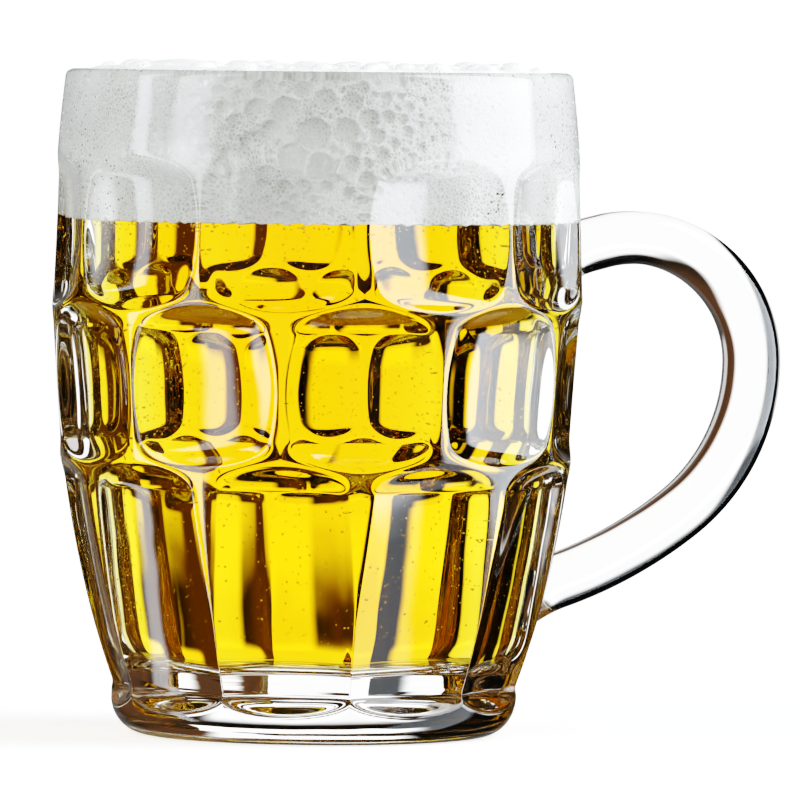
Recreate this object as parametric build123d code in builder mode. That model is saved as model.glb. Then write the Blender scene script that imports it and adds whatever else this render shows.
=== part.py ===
"""Dimpled glass beer mug with its drink: a pressed bowl, a fused handle, the beer and the foam head.

Millimetres, +Z up, origin on the bowl's axis in the plane the mug stands on, handle along +X.
"""

import math
import os

from build123d import *

os.makedirs("parts", exist_ok=True)

# Outside of the bowl: a barrel of two arcs that meet upright at the belly
mug_height = 126.0
belly_radius = 50.6
belly_height = 84.0
rim_inset = 2.6
rim_radius = belly_radius - rim_inset
foot_inset = 14.1
foot_radius = belly_radius - foot_inset
foot_corner = 5.0

# Underside: a ring to stand on around a shallow dome
ring_width = 10.0
ring_inner_radius = foot_radius - ring_width
ring_corner = 1.5
dome_depth = 1.8

# Inside of the bowl: a straight taper that a plunger can leave
rim_wall = 3.0
rim_round = 1.4
rim_land = 0.2
cavity_floor = 14.0
cavity_inset = 1.5
cavity_floor_radius = foot_radius - cavity_inset
cavity_corner = 8.0

# Dimples: columns around the bowl, in two rows of scoops above one row of tall flutes
columns = 10
rib_width = 1.8
dimple_end_round = 6.0
dimple_end_draft = 30.0

upper_row_height = 95.5
upper_row_half = 14.3
upper_row_depth = 4.6
upper_row_sag = 1.5

middle_row_height = 67.4
middle_row_half = 14.9
middle_row_depth = 5.0
middle_row_sag = 1.6

flute_row_height = 29.2
flute_row_half = 23.2
flute_row_depth = 3.7
flute_row_sag = 0.2

# Dimple cutter, a sector of a wheel: how far its section reaches past the barrel and its sector past the dimple
wheel_reach = 4.0
wheel_margin = 1.3

# Handle: centre line in the XZ plane, section across it
handle_thickness = 10.0
handle_width = 14.5
handle_corner = 4.7
handle_land = 0.6
handle_top_height = 91.2
handle_top_rise = 15.0
handle_top_run = 10.8
handle_upper_radius = 23.6
handle_lower_radius = 37.0
handle_lower_turn = 52.0
handle_foot_height = 26.8
root_bury = 1.6
root_flare = 2.0
root_flare_length = 8.0

# Drink
beer_level = 97.9
foam_crown = 2.0

# Rounds, limited by the wall and the thickness they are on
rim_edge = min(rim_round, (rim_wall - rim_land) / 2)
handle_edge = min(handle_corner, (handle_thickness - handle_land) / 2)


def arc_radius(rise, drop):
    """Radius of the arc that leaves the belly upright and falls inward by drop over rise, negative if it flares."""
    return (rise**2 + drop**2) / (2 * drop)


def outer_radius(height):
    """Radius of the plain barrel, without dimples, at a height."""
    if height > belly_height:
        radius = arc_radius(mug_height - belly_height, belly_radius - rim_radius)
    else:
        radius = arc_radius(belly_height, belly_radius - foot_radius)
    upright = math.sqrt(radius**2 - (height - belly_height) ** 2)
    return belly_radius - radius + math.copysign(upright, radius)


def cavity_radius(height):
    """Radius of the tapered inside wall at a height."""
    rim = rim_radius - rim_wall
    share = (height - cavity_floor) / (mug_height - cavity_floor)
    return cavity_floor_radius + (rim - cavity_floor_radius) * share


def corner_of(sketch, x, y):
    """The corner of a profile nearest to a point of it."""
    return sketch.vertices().sort_by_distance((x, y, 0))[0]


def dimple_cutter(row_height, row_half, row_depth, row_sag):
    """Cutter for one dimple at +X: a sector of a wheel on an upright axle outside the bowl.

    The wheel sinks to the row's depth and comes out of the barrel half a rib short of each neighbour. Its rim is
    hollowed by the sag, and its two ends are rounded into walls that lean back by the draft.
    """
    barrel = outer_radius(row_height)
    floor = barrel - row_depth
    half_angle = math.pi / columns - rib_width / 2 / barrel
    chord = barrel * math.cos(half_angle)
    wheel_radius = (floor**2 + barrel**2 - 2 * floor * chord) / (2 * (chord - floor))
    axle = Axis((floor + wheel_radius, 0, 0), (0, 0, 1))
    sector = wheel_margin * math.degrees(math.asin(barrel * math.sin(half_angle) / wheel_radius))
    lean = math.tan(math.radians(dimple_end_draft))
    corners = []
    ends = []
    for side in (-1, 1):
        height = row_height + side * row_half
        sunk = row_depth - row_sag
        corners.append((outer_radius(height) - sunk, height - side * sunk * lean))
        ends.append((outer_radius(height) + wheel_reach, height + side * wheel_reach * lean))
    with BuildPart() as wheel:
        with BuildSketch(Plane.XZ) as wheel_section:
            with BuildLine():
                ThreePointArc(corners[0], (floor, row_height), corners[1])
                Polyline(corners[1], ends[1], ends[0], corners[0])
            make_face()
            for corner in corners:
                fillet(corner_of(wheel_section, *corner), dimple_end_round)
        revolve(axis=axle, revolution_arc=2 * sector)
    return wheel.part.rotate(axle, -sector)


upper_cutter = dimple_cutter(upper_row_height, upper_row_half, upper_row_depth, upper_row_sag)
middle_cutter = dimple_cutter(middle_row_height, middle_row_half, middle_row_depth, middle_row_sag)
flute_cutter = dimple_cutter(flute_row_height, flute_row_half, flute_row_depth, flute_row_sag)


# Outside of the bowl, turned from its half section and then dimpled
with BuildPart() as blank:
    with BuildSketch(Plane.XZ) as blank_section:
        with BuildLine():
            TangentArc((0, dome_depth), (ring_inner_radius, 0), tangent=(1, 0))
            Line((ring_inner_radius, 0), (foot_radius, 0))
            TangentArc((belly_radius, belly_height), (foot_radius, 0), tangent=(0, -1))
            TangentArc((belly_radius, belly_height), (rim_radius, mug_height), tangent=(0, 1))
            Polyline((rim_radius, mug_height), (0, mug_height), (0, dome_depth))
        make_face()
        fillet(corner_of(blank_section, foot_radius, 0), foot_corner)
        fillet(corner_of(blank_section, ring_inner_radius, 0), ring_corner)
        fillet(corner_of(blank_section, rim_radius, mug_height), rim_edge)
    revolve(axis=Axis.Z)
    with PolarLocations(0, columns):
        add(upper_cutter, mode=Mode.SUBTRACT)
        add(flute_cutter, mode=Mode.SUBTRACT)
    with PolarLocations(0, columns, start_angle=180 / columns):
        add(middle_cutter, mode=Mode.SUBTRACT)

# Plunger, the shape of the inside, with the rim's inner edge turned over it
with BuildPart() as plunger:
    with BuildSketch(Plane.XZ) as plunger_section:
        with BuildLine():
            Polyline(
                (0, cavity_floor),
                (cavity_floor_radius, cavity_floor),
                (cavity_radius(mug_height), mug_height),
                (0, mug_height),
                close=True,
            )
        make_face()
        fillet(corner_of(plunger_section, cavity_floor_radius, cavity_floor), cavity_corner)
    revolve(axis=Axis.Z)

# Bowl, pressed between the two
with BuildPart() as bowl:
    add(blank.part)
    add(plunger.part, mode=Mode.SUBTRACT)
    fillet(bowl.edges().filter_by(GeomType.CIRCLE).group_by(Axis.Z)[-1].sort_by(SortBy.RADIUS)[0], rim_edge)
bowl.part.label = "bowl"
export_step(bowl.part, "parts/bowl.step")

# Centre line of the handle, from one place inside the wall to another
handle_top = (outer_radius(handle_top_height) - upper_row_depth - root_bury, handle_top_height)
handle_foot = (outer_radius(handle_foot_height) - flute_row_depth - root_bury, handle_foot_height)
with BuildLine(Plane.XZ) as handle_line:
    top_run = PolarLine(handle_top, handle_top_run, handle_top_rise)
    upper_bend = JernArc(top_run @ 1, top_run % 1, handle_upper_radius, -90 - handle_top_rise)
    lower_bend = JernArc(upper_bend @ 1, upper_bend % 1, handle_lower_radius, -handle_lower_turn)
    TangentArc(lower_bend @ 1, handle_foot, tangent=lower_bend % 1)


def root_plane(place, distance):
    """Plane across the handle, at a distance from one of its ends along the straight of that end."""
    away = handle_line.line % place if place == 0 else -(handle_line.line % place)
    return Plane(origin=handle_line.line @ place + away * distance, x_dir=(0, 1, 0), z_dir=away)


# Handle, swept along its line, flared at both roots and trimmed by the bowl's outside, which it is fused to
with BuildPart() as handle:
    with BuildSketch(root_plane(0, 0)):
        RectangleRounded(handle_width, handle_thickness, handle_edge)
    sweep(path=handle_line.line)
    for place in (0, 1):
        for share in (0, 0.5, 1):
            growth = 2 * root_flare * (1 - share) ** 2
            with BuildSketch(root_plane(place, share * root_flare_length)):
                RectangleRounded(handle_width + growth, handle_thickness + growth, handle_edge + growth / 2)
        loft()
    add(blank.part, mode=Mode.SUBTRACT)
handle.part.label = "handle"
export_step(handle.part, "parts/handle.step")

# Beer, up to its level in the bowl
with BuildPart() as beer:
    add(plunger.part)
    split(bisect_by=Plane.XY.offset(beer_level), keep=Keep.BOTTOM)
beer.part.label = "beer"
export_step(beer.part, "parts/beer.step")

# Foam head, from the beer to a low crown over the rim
foam_shoulder = mug_height - rim_edge
with BuildPart() as foam_head:
    with BuildSketch(Plane.XZ):
        with BuildLine():
            TangentArc((0, mug_height + foam_crown), (cavity_radius(foam_shoulder), foam_shoulder), tangent=(1, 0))
            Polyline(
                (cavity_radius(foam_shoulder), foam_shoulder),
                (cavity_radius(beer_level), beer_level),
                (0, beer_level),
                (0, mug_height + foam_crown),
            )
        make_face()
    revolve(axis=Axis.Z)
foam_head.part.label = "foam_head"
export_step(foam_head.part, "parts/foam_head.step")
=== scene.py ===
"""Looks for the dimpled glass beer mug: clear glass, golden beer with gas bubbles, and a foam head.

Shapes are worked out in millimetres from the same sizes as the solids, and put into the scene in metres.
"""

import math

import bpy
import numpy as np
from mathutils import Matrix, Vector


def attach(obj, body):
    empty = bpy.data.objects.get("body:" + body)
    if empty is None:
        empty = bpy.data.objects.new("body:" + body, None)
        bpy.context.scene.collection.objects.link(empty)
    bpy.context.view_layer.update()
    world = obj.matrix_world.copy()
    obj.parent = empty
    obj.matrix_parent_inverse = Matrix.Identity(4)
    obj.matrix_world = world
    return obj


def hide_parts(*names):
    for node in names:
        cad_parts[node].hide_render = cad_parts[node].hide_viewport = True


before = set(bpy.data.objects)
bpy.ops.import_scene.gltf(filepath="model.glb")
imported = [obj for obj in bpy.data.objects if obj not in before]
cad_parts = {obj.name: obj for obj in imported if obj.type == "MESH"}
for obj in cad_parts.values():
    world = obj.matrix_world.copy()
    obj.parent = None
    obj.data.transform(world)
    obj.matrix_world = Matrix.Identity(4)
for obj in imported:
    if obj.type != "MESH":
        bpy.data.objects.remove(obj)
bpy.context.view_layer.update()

MM = 0.001

# Outside of the bowl, and the heel that rounds it into its foot
mug_height = 126.0
belly_radius = 50.6
belly_height = 84.0
rim_radius = 48.0
foot_radius = 36.5
heel_height = 5.25
heel_width = 5.5
heel_inset = 0.1

# Underside: a flat ring around a shallow dome, and how far out the dome stays full
ring_inner_radius = 26.5
dome_depth = 1.8
dome_fullness = 0.6

# Inside of the bowl
rim_wall = 3.0
rim_round = 1.4
cavity_floor = 14.0
cavity_floor_radius = 35.0
cavity_corner = 8.0

# Dimples, in three rows that are turned by a share of a column
dimple_columns = 10
rib_width = 1.8
dimple_end_round = 4.4
dimple_end_lean = math.tan(math.radians(30.0))
edge_polish = 0.8
upper_row = {"height": 95.5, "half": 14.3, "depth": 4.6, "sag": 1.5, "turn": 0.0}
middle_row = {"height": 67.4, "half": 14.9, "depth": 5.0, "sag": 1.6, "turn": 0.5}
flute_row = {"height": 29.2, "half": 23.2, "depth": 3.7, "sag": 0.2, "turn": 0.0}
dimple_rows = (upper_row, middle_row, flute_row)

# Handle
handle_thickness = 10.0
handle_width = 14.5
handle_corner = 4.7
handle_top_height = 91.2
handle_top_rise = math.radians(15.0)
handle_top_run = 10.8
handle_upper_radius = 23.6
handle_lower_radius = 37.0
handle_lower_turn = math.radians(52.0)
handle_foot_height = 26.8
root_bury = 1.6
root_flare = 2.0
root_flare_length = 8.0

# Drink
beer_level = 97.9
beer_clearance = 0.02
foam_crown = 2.0
foam_flat = 0.5
foam_dip = 0.3
foam_overlap = 0.12
foam_edge_bulge = 0.6
foam_edge_width = 4.0

# Frayed lower edge of the foam: waves around it, and the shift of one of them
fray_wave = 61
fray_fast_wave = 103
fray_slow_wave = 17
fray_shift = 1.0

# Froth: where its coarse patch is, how far it spreads, and the radii, depth and rise of its bubbles
froth_turn = math.radians(-105.0)
froth_height = 114.0
froth_spread = (13.0, 8.0)
finest_bubble = 0.4
coarsest_bubble = 3.0
bubble_hollow = 0.5
bubble_rise = 0.5

# Bubbles on the glass and on the foam's top: how many are tried, rarity of large ones, closeness
wall_bubble_tries = 1500
wall_bubble_rarity = 3
wall_bubble_closeness = 0.96
top_bubble_tries = 1400
top_bubble_rarity = 9
top_bubble_closeness = 1.0
top_bubble_margin = 2.0

# Heaps on the foam: to the right and back as seen from the front, spread, rise
foam_heaps = (
    (-26.0, -12.0, 9.0, 1.5),
    (-2.0, -20.0, 4.5, 1.1),
    (12.0, 18.0, 12.0, 0.6),
    (28.0, 0.0, 10.0, 0.3),
)

# Gas in the beer: strings that rise, a scatter near the glass and a crowd under the foam
gas_strings = 44
gas_scatter = 900
gas_crowd = 320
gas_sizes = (0.1, 0.26)
gas_gap = 1.0
string_insets = (1.0, 7.0)
string_rise = 20.0
string_steps = (1.5, 5.0)
string_sway = 0.01
near_glass_insets = (0.5, 3.0)
crowd_gap = 0.4
crowd_spread = 0.8

# Drops of water on the glass, in two bands either side of the front
drop_count = 320
drop_sizes = (0.12, 0.3)
drop_flatness = 0.5
drop_turns = (math.radians(-168.0), math.radians(-30.0))
drop_first_share = 0.6
drop_spread = math.radians(9.0)
drop_low_gap = 1.0
drop_high_gap = 4.0

# Seeds of the random draws
wall_bubble_seed = 11
top_bubble_seed = 5
gas_seed = 3
drop_seed = 8

# How finely the meshes are divided
bowl_columns = 720
rib_crowding = 0.5
dome_steps = 30
ring_steps = 8
heel_steps = 16
wall_steps = 380
rim_steps = 18
cavity_floor_steps = 10
cavity_corner_steps = 24
wet_wall_steps = 60
dry_wall_steps = 30
handle_corner_steps = 14
handle_run_steps = 24
handle_upper_steps = 60
handle_lower_steps = 50
handle_tail_steps = 50
beer_columns = 240
beer_top_steps = 12
foam_columns = 720
foam_base_steps = 12
foam_wall_steps = 110
foam_edge_steps = 14
foam_top_steps = 110
bead_rings = 7
bead_columns = 10

# Slack when points and faces are told apart by where they lie
same_radius = 1e-6
rim_gap = 0.1
face_slack = 0.1
handle_end_slack = 1.0

# Clear materials: refractive indices, faint ripples and tints
glass_index = 1.52
beer_index = 1.34
water_index = 1.33
unbent_index = 1.0
ripple_scale = 70.0
ripple_detail = 1.0
ripple_strength = 0.6
ripple_depth = 0.0004
clear_tints = ((0.0, (0.985, 1.0, 0.99, 1)), (1.0, (0.995, 1.0, 1.0, 1)))
beer_colour = (0.99, 0.885, 0.0, 1)
beer_density = 82.0

# Froth's material: fine cells with pale walls and hollows painted darker tan, in cloudy patches; the darker
# tan is partly the froth's own tint and partly painted shade in the pits
froth_roughness = 0.6
froth_shine = 0.2
froth_white = (0.95, 0.95, 0.93, 1)
cell_scale = 1250.0
# Colours of the cells: pale walls, then darker tan hollows, partly the froth's own tint and partly painted
# shade in the pits
cell_colours_with_painted_shade = ((0.02, (0.96, 0.96, 0.95, 1)), (0.3, (0.62, 0.61, 0.55, 1)))
cell_strength = 0.6
cell_depth = 0.0003
cloud_scale = 95.0
cloud_detail = 5.0
cloud_edges = (0.35, 0.65)

# Floor
floor_radius = 420.0
floor_sides = 96
floor_glow = 1.1
floor_grain_scale = 160.0
floor_grain_detail = 6.0
floor_shades = ((0.0, (0.86, 0.86, 0.86, 1)), (1.0, (0.92, 0.92, 0.92, 1)))
floor_roughness = (0.5, 0.7)

# Light on the film that shows as white, and how bright lesser light is shown
film_white = 2.5
film_curve = ((0.08, 0.045), (0.2, 0.165), (0.5, 0.43), (1.0, 0.68), (1.6, 0.87))
combined_curve = 3

# Tints of the light
white = (1.0, 1.0, 1.0)
daylight = (0.86, 0.93, 1.0)
amber = (1.0, 0.5, 0.2)

# Panels of light: turn, half width, rise, half height and softness in degrees, strength and tint
# The backdrop and the ring are seen through the glass, and the others are mirrored by its outside
backdrop_panels = (
    (0, 20, -25, 33, 3, 2.5, white),
    (-6, 12, 13, 6, 3, 2.4, white),
    (30, 18, -15, 45, 10, 0.16, amber),
)
mirrored_panels = (
    (-6, 20, -20, 38, 6, 0.25, white),
    (-122, 9, 10, 50, 4, 8.5, daylight),
    (-94, 4, 0, 40, 2, 9.0, daylight),
    (93, 24, 24, 42, 3, 12.0, daylight),
    (93, 24, -40, 22, 3, 3.2, daylight),
    (180, 32, 0, 22, 8, 0.1, white),
)

# Ring of panels around the mug: turn, half width and strength of each; rise, half height and softness of all
ring_turns = (
    (-135, 15, 2.4),
    (-92, 15, 2.4),
    (-50, 9, 1.2),
    (50, 9, 1.2),
    (92, 15, 2.4),
    (135, 15, 2.4),
    (180, 15, 2.4),
)
ring_heights = (-25, 33, 3)
panel_below = (0, 190, -90, 36, 4, 2.2, white)
ring_panels = [(turn, half, *ring_heights, strength, white) for turn, half, strength in ring_turns]
ring_panels.append(panel_below)

# Light of the dim room, and light on the froth with its rise, half height and softness in degrees
room_light = 0.004
froth_light = (1.74, 1.69, 1.5)
froth_light_band = (8, 20, 8)

# Lamp in front
lamp_turn = math.radians(180.0)
lamp_rise = math.radians(45.0)
lamp_distance = 1200.0
lamp_size = 1000.0
lamp_power = 4.0

# Bounces of light: the depth of a ray that has bounced at least once is over any_bounce
any_bounce = 0.5
most_bounces = 32
most_mirror_bounces = 12

# Camera, with the handle to its right and a little higher than the rim; its reach is in metres
camera_turn = math.radians(-100.6)
camera_distance = 1950.0
camera_height = 131.0
camera_roll = math.radians(0.6)
camera_reach = 200.0
sensor_width = 36.0
frame_width = 151.8
aim_right = 15.9
aim_height = 63.7

# Level directions as seen from the front
look = Vector((-math.cos(camera_turn), -math.sin(camera_turn), 0))
to_right = Vector((look.y, -look.x, 0))


# Shapes worked out from the sizes


def arc_radius(rise, drop):
    """Radius of the arc that leaves the belly upright and falls inward by drop over rise."""
    return (rise**2 + drop**2) / (2 * drop)


def outer_radius(height):
    """Radius of the plain barrel at a height or an array of heights."""
    height = np.asarray(height, float)
    upper = arc_radius(mug_height - belly_height, belly_radius - rim_radius)
    lower = arc_radius(belly_height, belly_radius - foot_radius)
    radius = np.where(height > belly_height, upper, lower)
    return belly_radius - radius + np.sqrt(radius**2 - (height - belly_height) ** 2)


def cavity_radius(height):
    """Radius of the tapered inside wall at a height."""
    share = (height - cavity_floor) / (mug_height - cavity_floor)
    return cavity_floor_radius + (rim_radius - rim_wall - cavity_floor_radius) * share


def rounded_higher(first, second, blend):
    """The higher of two curves, with the corner between them rounded off."""
    close = np.maximum(blend - np.abs(first - second), 0)
    return np.maximum(first, second) + close**2 / (4 * blend)


def dimple_floor(row, height):
    """Radius of a dimple's middle line at a height: a hollow floor between two leaning ends."""
    sunk = row["depth"] - row["sag"]
    reach = row["half"] - sunk * dimple_end_lean
    low, high = row["height"] - row["half"], row["height"] + row["half"]
    ends = outer_radius(low), outer_radius(high)
    share = (height - row["height"]) / reach
    chord = (ends[0] + ends[1]) / 2 - sunk
    middle = outer_radius(row["height"]) - row["depth"]
    floor = middle + (chord - middle) * share**2 + (ends[1] - ends[0]) / 2 * share
    lower_end = ends[0] + (low - height) / dimple_end_lean
    upper_end = ends[1] + (height - high) / dimple_end_lean
    return rounded_higher(rounded_higher(floor, lower_end, dimple_end_round), upper_end, dimple_end_round)


def dimple_depth(angle, height):
    """How far the dimples lie under the plain barrel, with their edges polished round.

    Each is the hollow that a wheel on an upright axle leaves, half a rib short of its neighbours.
    """
    pitch = 2 * math.pi / dimple_columns
    total = np.zeros(np.broadcast(angle, height).shape)
    for row in dimple_rows:
        barrel = outer_radius(row["height"])
        floor = barrel - row["depth"]
        chord = barrel * math.cos(pitch / 2 - rib_width / 2 / barrel)
        wheel_radius = (floor**2 + barrel**2 - 2 * floor * chord) / (2 * (chord - floor))
        axle = floor + wheel_radius
        column = np.round(angle / pitch - row["turn"])
        across = angle - (column + row["turn"]) * pitch
        wheel = np.maximum(axle - dimple_floor(row, height), 0)
        reached = np.sqrt(np.maximum(wheel**2 - (axle * np.sin(across)) ** 2, 0))
        sunk = outer_radius(np.clip(height, 0, mug_height)) - axle * np.cos(across) + reached
        total += (sunk + np.sqrt(sunk**2 + edge_polish**2)) / 2
    return total


def curve_through(start, corner, end, count):
    """Points of a smooth bend from start to end, drawn towards a corner."""
    share = np.linspace(0, 1, count)[:, None]
    start, corner, end = np.array(start), np.array(corner), np.array(end)
    return (1 - share) ** 2 * start + 2 * share * (1 - share) * corner + share**2 * end


def straight(start, end, count):
    """Evenly spaced points from start to end."""
    share = np.linspace(0, 1, count)[:, None]
    return (1 - share) * np.array(start) + share * np.array(end)


def joined(*stretches):
    """One profile from several stretches that follow each other."""
    kept = [stretches[0]] + [stretch[1:] for stretch in stretches[1:]]
    return np.concatenate(kept)


def cavity_profile(grow):
    """Profile of the cavity from its floor's centre up its wall to the rim, moved out by grow."""
    floor = cavity_floor - grow
    wall_foot = cavity_floor + cavity_corner
    wall_places = [(cavity_radius(height) + grow, height) for height in (wall_foot, beer_level, mug_height)]
    corner_start = (cavity_floor_radius - cavity_corner, floor)
    corner = (cavity_floor_radius + grow, floor)
    return joined(
        straight((0, floor), corner_start, cavity_floor_steps),
        curve_through(corner_start, corner, wall_places[0], cavity_corner_steps),
        straight(wall_places[0], wall_places[1], wet_wall_steps),
        straight(wall_places[1], wall_places[2], dry_wall_steps),
    )


def even_angles(count):
    """Evenly spaced angles around the axis."""
    return np.linspace(0, 2 * math.pi, count, endpoint=False)


def crowded_angles(count, crowding):
    """Angles around the axis, closer together at the ribs of the dimples."""
    even = even_angles(count)
    ribs = 2 * dimple_columns
    return even - crowding * np.sin(ribs * even) / ribs


def around_axis(angle, radius, height):
    """Points at angles, distances and heights about the mug's axis."""
    return np.stack([radius * np.cos(angle), radius * np.sin(angle), height], axis=-1)


# Mesh makers


def new_object(name, data):
    """A new object in the scene."""
    thing = bpy.data.objects.new(name, data)
    bpy.context.scene.collection.objects.link(thing)
    return thing


def mesh_object(name, points, faces, smooth=True):
    """A new mesh object from points in millimetres."""
    mesh = bpy.data.meshes.new(name)
    mesh.from_pydata((np.asarray(points) * MM).tolist(), [], faces)
    mesh.polygons.foreach_set("use_smooth", [smooth] * len(mesh.polygons))
    mesh.update()
    return new_object(name, mesh)


def grid_faces(rows, columns):
    """Quads of a grid of points that closes on itself across its columns."""
    faces = []
    for row in range(rows - 1):
        low = row * columns
        for column in range(columns):
            after = (column + 1) % columns
            faces.append((low + column, low + after, low + columns + after, low + columns + column))
    return faces


def ball_faces(rows, columns):
    """Faces of a grid that is closed at both ends by a pole; the two poles are the last points."""
    faces = grid_faces(rows, columns)
    start = rows * columns
    end = start + 1
    last = start - columns
    for column in range(columns):
        after = (column + 1) % columns
        faces.append((start, after, column))
        faces.append((end, last + column, last + after))
    return faces


def turned(name, profile, angles, change=None):
    """A closed solid of turning whose profile starts and ends on the axis; change may move its points."""
    inner = profile[1:-1]
    radius = np.repeat(inner[:, :1], len(angles), axis=1)
    height = np.repeat(inner[:, 1:], len(angles), axis=1)
    if change is not None:
        radius, height = change(radius, height, angles[None, :])
    points = around_axis(angles, radius, height).reshape(-1, 3)
    points = np.concatenate([points, [(0, 0, profile[0][1]), (0, 0, profile[-1][1])]])
    return mesh_object(name, points, ball_faces(len(inner), len(angles)))


# Bowl


def bowl_profile():
    """Profile of the bowl: underside, foot, outside wall, rim, inside wall and floor."""
    heel_start = (foot_radius - heel_width, 0)
    heel_corner = (foot_radius - heel_inset, 0)
    heel_end = (float(outer_radius(heel_height)), heel_height)
    ring_start = (ring_inner_radius, 0)
    dome_corner = (ring_inner_radius * dome_fullness, dome_depth)
    rim_start = mug_height - rim_wall / 2
    wall_heights = np.linspace(heel_height, rim_start, wall_steps)
    wall = np.stack([outer_radius(wall_heights), wall_heights], axis=1)
    turn = np.linspace(0, math.pi, rim_steps)
    outer_edge, inner_edge = float(outer_radius(rim_start)), cavity_radius(rim_start)
    half = (outer_edge - inner_edge) / 2
    middle = (outer_edge + inner_edge) / 2
    rim = np.stack([middle + half * np.cos(turn), rim_start + rim_wall / 2 * np.sin(turn)], axis=1)
    inside = cavity_profile(0.0)[::-1]
    inside = np.concatenate([[[inner_edge, rim_start]], inside[inside[:, 1] < rim_start - rim_gap]])
    return joined(
        curve_through((0, dome_depth), dome_corner, ring_start, dome_steps),
        straight(ring_start, heel_start, ring_steps),
        curve_through(heel_start, heel_corner, heel_end, heel_steps),
        wall,
        rim,
        inside,
    )


def dimpled(radius, height, angles):
    """Sinks the dimples into the outside wall only."""
    plain = outer_radius(np.clip(height, 0, mug_height))
    outside = np.abs(radius - plain) < same_radius
    return np.where(outside, radius - dimple_depth(angles, height), radius), height


bowl = turned("bowl_glass", bowl_profile(), crowded_angles(bowl_columns, rib_crowding), dimpled)


# Handle


def root_place(height, row):
    """Where the handle's centre line ends inside the wall, in the XZ plane."""
    return np.array([float(outer_radius(height)) - row["depth"] - root_bury, height])


def handle_path():
    """Points and directions of the handle's centre line in the XZ plane."""
    start = root_place(handle_top_height, upper_row)
    foot = root_place(handle_foot_height, flute_row)
    heading = handle_top_rise
    points = []
    headings = []

    def run(length, count):
        nonlocal start
        ahead = np.array([math.cos(heading), math.sin(heading)])
        for share in np.linspace(0, 1, count, endpoint=False):
            points.append(start + share * length * ahead)
            headings.append(heading)
        start = start + length * ahead

    def bend(radius, turn, count):
        nonlocal start, heading
        centre = start + radius * np.array([math.sin(heading), -math.cos(heading)])
        for share in np.linspace(0, 1, count, endpoint=False):
            now = heading - share * turn
            points.append(centre + radius * np.array([-math.sin(now), math.cos(now)]))
            headings.append(now)
        heading -= turn
        start = centre + radius * np.array([-math.sin(heading), math.cos(heading)])

    run(handle_top_run, handle_run_steps)
    bend(handle_upper_radius, math.pi / 2 + handle_top_rise, handle_upper_steps)
    bend(handle_lower_radius, handle_lower_turn, handle_lower_steps)
    chord = foot - start
    chord_heading = math.atan2(chord[1], chord[0])
    half_turn = (heading - chord_heading) % (2 * math.pi)
    tail_radius = np.linalg.norm(chord) / 2 / math.sin(half_turn)
    bend(tail_radius, 2 * half_turn, handle_tail_steps)
    points.append(start)
    headings.append(heading)
    return np.array(points), np.array(headings)


def rounded_rectangle(width, thickness, corner, steps):
    """Outline of a rectangle with round corners, as points about its middle."""
    outline = []
    for quarter in range(4):
        side_x = 1 if quarter in (0, 3) else -1
        side_y = 1 if quarter in (0, 1) else -1
        centre = (side_x * (width / 2 - corner), side_y * (thickness / 2 - corner))
        for share in np.linspace(0, 1, steps):
            angle = (quarter + share) * math.pi / 2
            outline.append((centre[0] + corner * math.cos(angle), centre[1] + corner * math.sin(angle)))
    return np.array(outline)


def handle_ring(place, heading, near):
    """The handle's section at a place of its line, wider near a root."""
    growth = root_flare * max(0.0, 1 - near / root_flare_length) ** 2
    width = handle_width + 2 * growth
    thickness = handle_thickness + 2 * growth
    outline = rounded_rectangle(width, thickness, handle_corner + growth, handle_corner_steps)
    ring = np.zeros((len(outline), 3))
    ring[:, 0] = place[0] - outline[:, 1] * math.sin(heading)
    ring[:, 1] = outline[:, 0]
    ring[:, 2] = place[1] + outline[:, 1] * math.cos(heading)
    return ring


def make_handle():
    """The handle: its section carried along its line and closed at both ends."""
    path, headings = handle_path()
    lengths = np.concatenate([[0], np.cumsum(np.linalg.norm(np.diff(path, axis=0), axis=1))])
    from_end = np.minimum(lengths, lengths[-1] - lengths)
    rings = [handle_ring(*stop) for stop in zip(path, headings, from_end)]
    around = len(rings[0])
    last = (len(rings) - 1) * around
    faces = grid_faces(len(rings), around)
    faces.append(tuple(reversed(range(around))))
    faces.append(tuple(range(last, last + around)))
    return mesh_object("handle_glass", np.concatenate(rings), faces)


handle = make_handle()


# Beer


def beer_profile():
    """Profile of the beer: the cavity up to its level."""
    inside = cavity_profile(-beer_clearance)
    inside = inside[inside[:, 1] <= beer_level]
    return joined(inside, straight(inside[-1], (0, beer_level), beer_top_steps))


beer = turned("beer_body", beer_profile(), even_angles(beer_columns))


# Foam head


def foam_profile():
    """Profile of the foam head, from the beer's level up the glass and over its nearly flat top."""
    shoulder = mug_height - rim_round
    bottom = beer_level - foam_dip
    low = cavity_radius(beer_level) + foam_overlap
    high = cavity_radius(shoulder) + foam_overlap
    top = mug_height + foam_flat
    edge = (high - foam_edge_width, top)
    return joined(
        straight((0, bottom), (low, bottom), foam_base_steps),
        straight((low, bottom), (high, shoulder), foam_wall_steps),
        curve_through((high, shoulder), (high - foam_edge_bulge, top), edge, foam_edge_steps),
        straight(edge, (0, top), foam_top_steps),
    )


def apart(places, sizes, closeness):
    """Which bubbles to keep, the largest first, so that none lies over another."""
    kept = []
    for one in np.argsort(-sizes):
        gaps = np.hypot(*(places[kept] - places[one]).T)
        if np.all(gaps > closeness * (sizes[kept] + sizes[one])):
            kept.append(one)
    return kept


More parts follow.
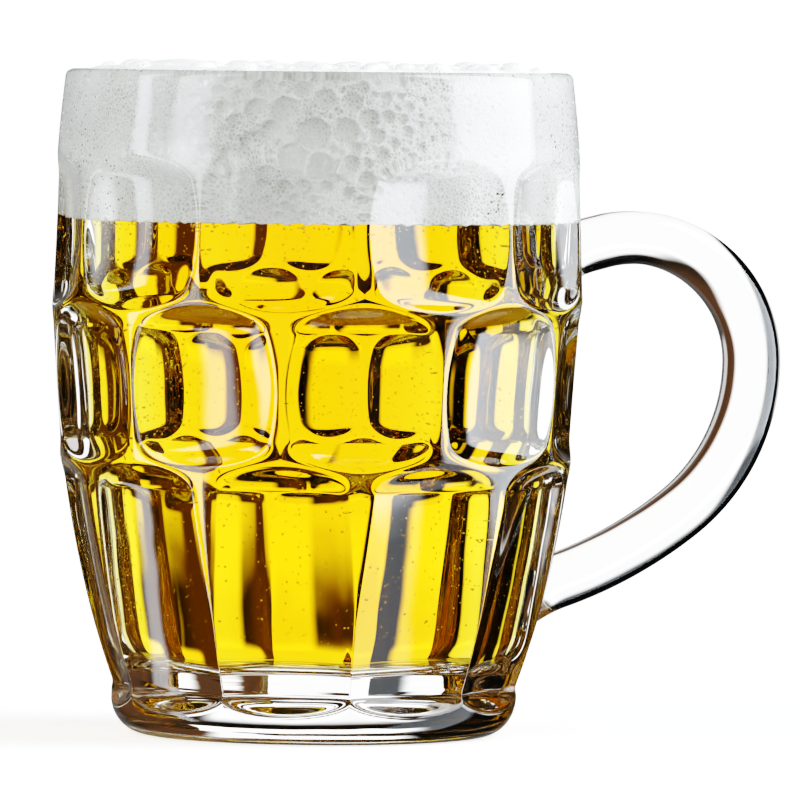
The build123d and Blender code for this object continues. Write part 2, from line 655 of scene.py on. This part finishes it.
def wall_bubbles():
    """Bubbles on the glass, as way around and height, and radius: coarse in one patch, fine all round."""
    dice = np.random.default_rng(wall_bubble_seed)
    around = math.pi * cavity_radius(froth_height)
    middle = (froth_turn * cavity_radius(froth_height), froth_height)
    ways = dice.uniform(-around, around, wall_bubble_tries)
    heights = dice.uniform(beer_level, mug_height, wall_bubble_tries)
    patch = dice.normal(middle, froth_spread, (wall_bubble_tries, 2))
    places = np.concatenate([patch, np.stack([ways, heights], axis=1)])
    away = (places - middle) / froth_spread
    coarse = np.exp(-np.sum(away**2, axis=1) / 2)
    chance = dice.random(len(places)) ** wall_bubble_rarity
    sizes = finest_bubble + (coarsest_bubble - finest_bubble) * coarse * chance
    kept = apart(places, sizes, wall_bubble_closeness)
    return places[kept], sizes[kept]


def top_bubbles():
    """Bubbles that stand on the foam's top, as x and y, and radius."""
    dice = np.random.default_rng(top_bubble_seed)
    reach = cavity_radius(mug_height) - top_bubble_margin
    places = dice.uniform(-reach, reach, (top_bubble_tries, 2))
    places = places[np.hypot(*places.T) < reach]
    chance = dice.random(len(places)) ** top_bubble_rarity
    sizes = finest_bubble + (coarsest_bubble - finest_bubble) * chance
    kept = apart(places, sizes, top_bubble_closeness)
    return places[kept], sizes[kept]


def wall_hollows(height, angles):
    """How deep the bubbles against the glass are hollowed."""
    ring = cavity_radius(froth_height)
    hollow = np.zeros_like(height)
    for (around, middle), size in zip(*wall_bubbles()):
        turn = (angles - around / ring + math.pi) % (2 * math.pi) - math.pi
        near = np.maximum(size**2 - (turn * ring) ** 2 - (height - middle) ** 2, 0)
        hollow = np.maximum(hollow, np.sqrt(near))
    return bubble_hollow * hollow


def top_heaps(x, y):
    """How far the heaps and the bubbles on them rise over the foam's top."""
    heap = np.zeros_like(x)
    for right, back, spread, rise in foam_heaps:
        middle = to_right * right + look * back
        heap += rise * np.exp(-((x - middle.x) ** 2 + (y - middle.y) ** 2) / spread**2)
    for place, size in zip(*top_bubbles()):
        near = np.maximum(size**2 - (x - place[0]) ** 2 - (y - place[1]) ** 2, 0)
        heap = np.maximum(heap, bubble_rise * np.sqrt(near))
    return heap


def frothy(radius, height, angles):
    """Hollows the bubbles against the glass, heaps up the top and frays the lower edge."""
    top = height > mug_height - rim_round
    hollowed = radius - wall_hollows(height, angles)
    heap = top_heaps(radius * np.cos(angles), radius * np.sin(angles))
    height = np.where(top, np.minimum(height + heap, mug_height + foam_crown), height)
    fray = np.sin(fray_fast_wave * angles + fray_shift) * np.sin(fray_slow_wave * angles)
    fray = foam_dip / 2 * (np.sin(fray_wave * angles) + fray)
    height = np.where(height < beer_level, height + fray, height)
    return np.where(top, radius, hollowed), height


foam = turned("foam_body", foam_profile(), even_angles(foam_columns), frothy)


# Small round things: gas in the beer and drops of water on the glass


def beads(name, middles, sizes, flatness):
    """Many small balls in one mesh, flattened across the way out from the mug's axis."""
    rise = np.linspace(-math.pi / 2, math.pi / 2, bead_rings)[1:-1, None]
    heights = np.repeat(np.sin(rise), bead_columns, axis=1)
    rings = around_axis(even_angles(bead_columns), np.cos(rise), heights)
    ball = np.concatenate([rings.reshape(-1, 3), [(0, 0, -1), (0, 0, 1)]])
    faces = ball_faces(len(rise), bead_columns)
    points = []
    all_faces = []
    for middle, size in zip(middles, sizes):
        outward = np.array([middle[0], middle[1], 0]) / np.hypot(middle[0], middle[1])
        shape = size * (ball - (1 - flatness) * (ball @ outward)[:, None] * outward)
        first = len(points) * len(ball)
        points.append(middle + shape)
        all_faces += [tuple(first + corner for corner in face) for face in faces]
    return mesh_object(name, np.concatenate(points), all_faces)


def make_gas():
    """Gas bubbles: strings that rise in the beer, a scatter near the glass and a crowd under the foam."""
    dice = np.random.default_rng(gas_seed)
    lowest = cavity_floor + cavity_corner
    highest = beer_level - gas_gap
    angle = []
    inset = []
    height = []
    for string in range(gas_strings):
        turn = dice.uniform(-math.pi, math.pi)
        depth = dice.uniform(*string_insets)
        level = dice.uniform(lowest, beer_level - string_rise)
        while level < highest:
            angle.append(turn + dice.normal(0, string_sway))
            inset.append(depth)
            height.append(level)
            level += dice.uniform(*string_steps)
    near_glass = gas_scatter + gas_crowd
    angle = np.concatenate([angle, dice.uniform(-math.pi, math.pi, near_glass)])
    inset = np.concatenate([inset, dice.uniform(*near_glass_insets, near_glass)])
    scatter = dice.uniform(lowest, highest, gas_scatter)
    crowd = beer_level - crowd_gap - np.abs(dice.normal(0, crowd_spread, gas_crowd))
    height = np.concatenate([height, scatter, crowd])
    sizes = dice.uniform(*gas_sizes, len(height))
    return beads("gas_bubbles", around_axis(angle, cavity_radius(height) - inset, height), sizes, 1.0)


def make_drops():
    """Drops of water on the cold glass beside the foam, on both sides of the front."""
    dice = np.random.default_rng(drop_seed)
    side = np.where(dice.random(drop_count) < drop_first_share, *drop_turns)
    angle = side + dice.normal(0, drop_spread, drop_count)
    height = dice.uniform(beer_level + drop_low_gap, mug_height - drop_high_gap, drop_count)
    radius = outer_radius(height) - dimple_depth(angle, height)
    sizes = dice.uniform(*drop_sizes, drop_count)
    return beads("water_drops", around_axis(angle, radius, height), sizes, drop_flatness)


gas = make_gas()
drops = make_drops()


# Shader nodes


def set_inputs(tree, node, inputs):
    """Sets a node's inputs, by name or place, to values or links them to other nodes' outputs."""
    for name, value in inputs.items():
        if isinstance(value, bpy.types.NodeSocket):
            tree.links.new(value, node.inputs[name])
        else:
            node.inputs[name].default_value = value


def add_node(tree, kind, inputs, **settings):
    """A new node with its settings made and its inputs set or linked."""
    node = tree.nodes.new("ShaderNode" + kind)
    for name, value in settings.items():
        setattr(node, name, value)
    set_inputs(tree, node, inputs)
    return node


def object_place(tree):
    """Where on the object a point is."""
    return add_node(tree, "TexCoord", {}).outputs["Object"]


def noise(tree, scale, detail):
    """Soft noise all over the object."""
    inputs = {"Vector": object_place(tree), "Scale": scale, "Detail": detail}
    return add_node(tree, "TexNoise", inputs).outputs["Fac"]


def colour_ramp(tree, value, stops):
    """A colour between two stops, each a position and a colour, by where a value lies between them."""
    node = add_node(tree, "ValToRGB", {"Fac": value})
    for element, (position, colour) in zip(node.color_ramp.elements, stops):
        element.position = position
        element.color = colour
    return node.outputs["Color"]


# Materials


def new_material(name):
    """A new node material, with its node tree and its shader."""
    material = bpy.data.materials.new(name)
    material.use_nodes = True
    return material, material.node_tree, material.node_tree.nodes["Principled BSDF"]


def clear_material(name, index):
    """Clear, smooth and faintly rippled, with a refractive index against what is on its other side."""
    material, tree, shader = new_material(name)
    waves = noise(tree, ripple_scale, ripple_detail)
    ripple = {"Height": waves, "Strength": ripple_strength, "Distance": ripple_depth}
    surface = {
        "Base Color": colour_ramp(tree, waves, clear_tints),
        "Roughness": 0.0,
        "IOR": index,
        "Transmission Weight": 1.0,
        "Normal": add_node(tree, "Bump", ripple).outputs["Normal"],
    }
    set_inputs(tree, shader, surface)
    return material


def beer_material():
    """Golden beer: yellower the longer the light's way through it. The bend into it is on the wet glass."""
    material = clear_material("lager", unbent_index)
    tree = material.node_tree
    absorb = add_node(tree, "VolumeAbsorption", {"Color": beer_colour, "Density": beer_density})
    set_inputs(tree, tree.nodes["Material Output"], {"Volume": absorb.outputs["Volume"]})
    return material


def foam_material():
    """Off-white froth: fine cells with pale walls and hollows painted darker tan, in cloudy patches. The
    darker tan is partly the froth's own tint and partly painted shade in the pits.
    """
    material, tree, shader = new_material("froth")
    grid = {"Vector": object_place(tree), "Scale": cell_scale}
    cells = add_node(tree, "TexVoronoi", grid, feature="DISTANCE_TO_EDGE").outputs["Distance"]
    cloud = noise(tree, cloud_scale, cloud_detail)
    thin = {"Value": cloud, "From Min": cloud_edges[0], "From Max": cloud_edges[1]}
    patches = {
        "Factor": add_node(tree, "MapRange", thin).outputs["Result"],
        "A": froth_white,
        # Cell hollows darker tan: partly the froth's own tint, partly painted shade in the pits
        "B": colour_ramp(tree, cells, cell_colours_with_painted_shade),
    }
    pits = {"Height": cells, "Strength": cell_strength, "Distance": cell_depth}
    surface = {
        "Base Color": add_node(tree, "Mix", patches, data_type="RGBA").outputs["Result"],
        "Roughness": froth_roughness,
        "Specular IOR Level": froth_shine,
        "Normal": add_node(tree, "Bump", pits, invert=True).outputs["Normal"],
    }
    set_inputs(tree, shader, surface)
    return material


def floor_material():
    """Pale and matt, with a faint grain and a little glow."""
    material, tree, shader = new_material("pale_floor")
    grain = noise(tree, floor_grain_scale, floor_grain_detail)
    matt = {"Value": grain, "To Min": floor_roughness[0], "To Max": floor_roughness[1]}
    surface = {
        "Base Color": colour_ramp(tree, grain, floor_shades),
        "Roughness": add_node(tree, "MapRange", matt).outputs["Result"],
        "Emission Color": (*white, 1),
        "Emission Strength": floor_glow,
    }
    set_inputs(tree, shader, surface)
    return material


def centres(piece):
    """Middles of a piece's faces in millimetres: distance from the axis, angle, height, x and y."""
    flat = np.empty(3 * len(piece.data.polygons))
    piece.data.polygons.foreach_get("center", flat)
    x, y, z = flat.reshape(-1, 3).T / MM
    return np.hypot(x, y), np.arctan2(y, x), z, x, y


def dress(piece, material, chosen=None):
    """Gives a piece a material, on all its faces or on the chosen ones."""
    piece.data.materials.append(material)
    if chosen is not None:
        index = np.zeros(len(piece.data.polygons), int)
        piece.data.polygons.foreach_get("material_index", index)
        index[chosen] = len(piece.data.materials) - 1
        piece.data.polygons.foreach_set("material_index", index)


def in_handle(x, y, z):
    """Whether points near the bowl's wall are inside the handle."""
    path, headings = handle_path()
    inside = np.zeros(len(x), bool)
    beside = np.nonzero((x > foot_radius / 2) & (np.abs(y) < handle_width / 2))[0]
    for point in beside:
        away = np.array([x[point], z[point]]) - path
        closest = np.argmin(np.sum(away**2, axis=1))
        heading = headings[closest]
        across = abs(float(away[closest] @ np.array([-math.sin(heading), math.cos(heading)])))
        past = abs(float(away[closest] @ np.array([math.cos(heading), math.sin(heading)])))
        inside[point] = across < handle_thickness / 2 and past < handle_end_slack
    return inside


glass = clear_material("pressed_glass", glass_index)
wet_glass = clear_material("wet_glass", glass_index / beer_index)
fused_glass = clear_material("fused_glass", unbent_index)

distance, angle, height, x, y = centres(bowl)
in_cavity = (distance < cavity_radius(height) + face_slack) & (height > cavity_floor - face_slack)
wet = in_cavity & (height < beer_level)
dress(bowl, glass)
dress(bowl, wet_glass, wet)
dress(bowl, fused_glass, in_handle(x, y, height) & ~wet)

distance, angle, height, x, y = centres(handle)
dress(handle, glass)
dress(handle, fused_glass, distance < outer_radius(height) - dimple_depth(angle, height))

dress(beer, beer_material())
dress(foam, foam_material())
dress(gas, clear_material("gas", beer_index))
dress(drops, clear_material("water", water_index))

for piece, node, finish in (
    (bowl, "bowl", "glass"),
    (handle, "handle", "glass"),
    (beer, "beer", "beer"),
    (foam, "foam_head", "foam"),
):
    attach(piece, "root")
    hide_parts(node)
for piece, finish in ((gas, "beer"), (drops, "glass")):
    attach(piece, "root")


# Floor


def make_floor():
    """A round pale floor, which the glass neither mirrors nor shows through itself."""
    turn = even_angles(floor_sides)
    edge = around_axis(turn, floor_radius, np.zeros(floor_sides))
    floor = mesh_object("floor", edge, [tuple(range(floor_sides))], False)
    floor.data.materials.append(floor_material())
    floor.visible_transmission = False
    floor.visible_glossy = False
    return floor


make_floor()


# Light


def calculated(tree, operation, *values):
    """What a math node makes of some values."""
    return add_node(tree, "Math", dict(enumerate(values)), operation=operation).outputs["Value"]


def along(tree, direction, axis):
    """How far a direction goes along an axis."""
    return add_node(tree, "VectorMath", {0: direction, 1: axis}, operation="DOT_PRODUCT").outputs["Value"]


def added(tree, first, second):
    """Two lights together."""
    return add_node(tree, "VectorMath", {0: first, 1: second}, operation="ADD").outputs["Vector"]


def scaled(tree, light, amount):
    """A light times an amount."""
    inputs = {"Vector": light, "Scale": amount}
    return add_node(tree, "VectorMath", inputs, operation="SCALE").outputs["Vector"]


def either(tree, choice, first, second):
    """The first of two lights where the choice is 0, and the second where it is 1."""
    inputs = {"Factor": choice, "A": first, "B": second}
    return add_node(tree, "Mix", inputs, data_type="VECTOR").outputs["Result"]


def band(tree, angle, centre, half, soft):
    """1 within half of a centre and 0 outside, with a soft edge; angle in radians, the rest in degrees."""
    offset = calculated(tree, "SUBTRACT", angle, math.radians(centre))
    wrapped = calculated(tree, "WRAP", offset, math.pi, -math.pi)
    inputs = {
        "Value": calculated(tree, "ABSOLUTE", wrapped),
        "From Min": math.radians(half - soft),
        "From Max": math.radians(half + soft),
        "To Min": 1.0,
        "To Max": 0.0,
    }
    return add_node(tree, "MapRange", inputs, interpolation_type="SMOOTHSTEP").outputs["Result"]


def panel_light(tree, turn, rise, panels):
    """The light of panels that comes from a turn and a rise."""
    light = (0.0, 0.0, 0.0)
    for turn_to, turn_half, rise_to, rise_half, soft, strength, tint in panels:
        across = band(tree, turn, turn_to, turn_half, soft)
        upward = band(tree, rise, rise_to, rise_half, soft)
        shape = calculated(tree, "MULTIPLY", across, upward)
        colour = tuple(strength * part for part in tint)
        light = added(tree, light, scaled(tree, colour, shape))
    return light


def studio_world():
    """Studio light from all round, by the kind of ray that meets it.

    The camera sees white. The glass shows the backdrop and the ring through itself, and mirrors other
    panels on its outside. The froth has light of its own, and the dim room is everywhere.
    """
    world = bpy.data.worlds.new("studio")
    bpy.context.scene.world = world
    world.use_nodes = True
    tree = world.node_tree
    direction = add_node(tree, "TexCoord", {}).outputs["Generated"]
    turn = calculated(tree, "ARCTAN2", along(tree, direction, to_right), along(tree, direction, look))
    rise = calculated(tree, "ARCSINE", along(tree, direction, (0, 0, 1)))
    ray = add_node(tree, "LightPath", {}).outputs
    from_froth = calculated(tree, "GREATER_THAN", ray["Diffuse Depth"], any_bounce)
    in_glass = calculated(tree, "GREATER_THAN", ray["Transmission Depth"], any_bounce)
    unmirrored = calculated(tree, "LESS_THAN", ray["Glossy Depth"], any_bounce)
    seen_inside = calculated(tree, "MULTIPLY", in_glass, calculated(tree, "SUBTRACT", 1.0, from_froth))
    on_froth = calculated(tree, "MULTIPLY", from_froth, band(tree, rise, *froth_light_band))
    backdrop = panel_light(tree, turn, rise, backdrop_panels)
    ring = scaled(tree, panel_light(tree, turn, rise, ring_panels), unmirrored)
    mirrored = panel_light(tree, turn, rise, mirrored_panels)
    light = either(tree, seen_inside, mirrored, added(tree, backdrop, ring))
    light = added(tree, light, scaled(tree, froth_light, on_froth))
    light = added(tree, light, (room_light, room_light, room_light))
    shown = either(tree, ray["Is Camera Ray"], light, (film_white, film_white, film_white))
    set_inputs(tree, tree.nodes["Background"], {"Color": shown, "Strength": 1.0})


def make_lamp():
    """A large square lamp in front, which lights the foam and the floor and isn't seen in the glass."""
    lamp_data = bpy.data.lights.new("front_lamp", "AREA")
    lamp_data.size = lamp_size * MM
    lamp_data.energy = lamp_power
    lamp = new_object("front_lamp", lamp_data)
    level = look * math.cos(lamp_turn) + to_right * math.sin(lamp_turn)
    away = level * math.cos(lamp_rise) + Vector((0, 0, math.sin(lamp_rise)))
    lamp.location = Vector((0, 0, mug_height / 2 * MM)) + away * lamp_distance * MM
    lamp.rotation_euler = away.to_track_quat("Z", "Y").to_euler()
    lamp.visible_camera = False
    lamp.visible_glossy = False
    lamp.visible_transmission = False


studio_world()
make_lamp()


# Camera and film


def make_camera():
    """The camera, at the photograph's angle."""
    camera_data = bpy.data.cameras.new("camera")
    camera_data.sensor_width = sensor_width
    camera_data.lens = sensor_width * camera_distance / frame_width
    camera_data.clip_end = camera_reach
    camera = new_object("camera", camera_data)
    aim = to_right * aim_right * MM + Vector((0, 0, aim_height * MM))
    stand = aim - look * camera_distance * MM
    stand.z = camera_height * MM
    view_turn = (aim - stand).to_track_quat("-Z", "Y").to_matrix().to_4x4()
    camera.matrix_world = Matrix.Translation(stand) @ view_turn @ Matrix.Rotation(camera_roll, 4, "Z")
    bpy.context.scene.camera = camera


def set_film():
    """How light is shown, with a short toe and a shoulder to the film's white, and how often it bounces."""
    settings = bpy.context.scene
    settings.view_settings.view_transform = "Standard"
    settings.view_settings.use_curve_mapping = True
    film = settings.view_settings.curve_mapping
    film.white_level = (film_white, film_white, film_white)
    for light, brightness in film_curve:
        film.curves[combined_curve].points.new(light / film_white, brightness)
    film.update()
    settings.cycles.max_bounces = most_bounces
    settings.cycles.transmission_bounces = most_bounces
    settings.cycles.glossy_bounces = most_mirror_bounces


make_camera()
set_film()
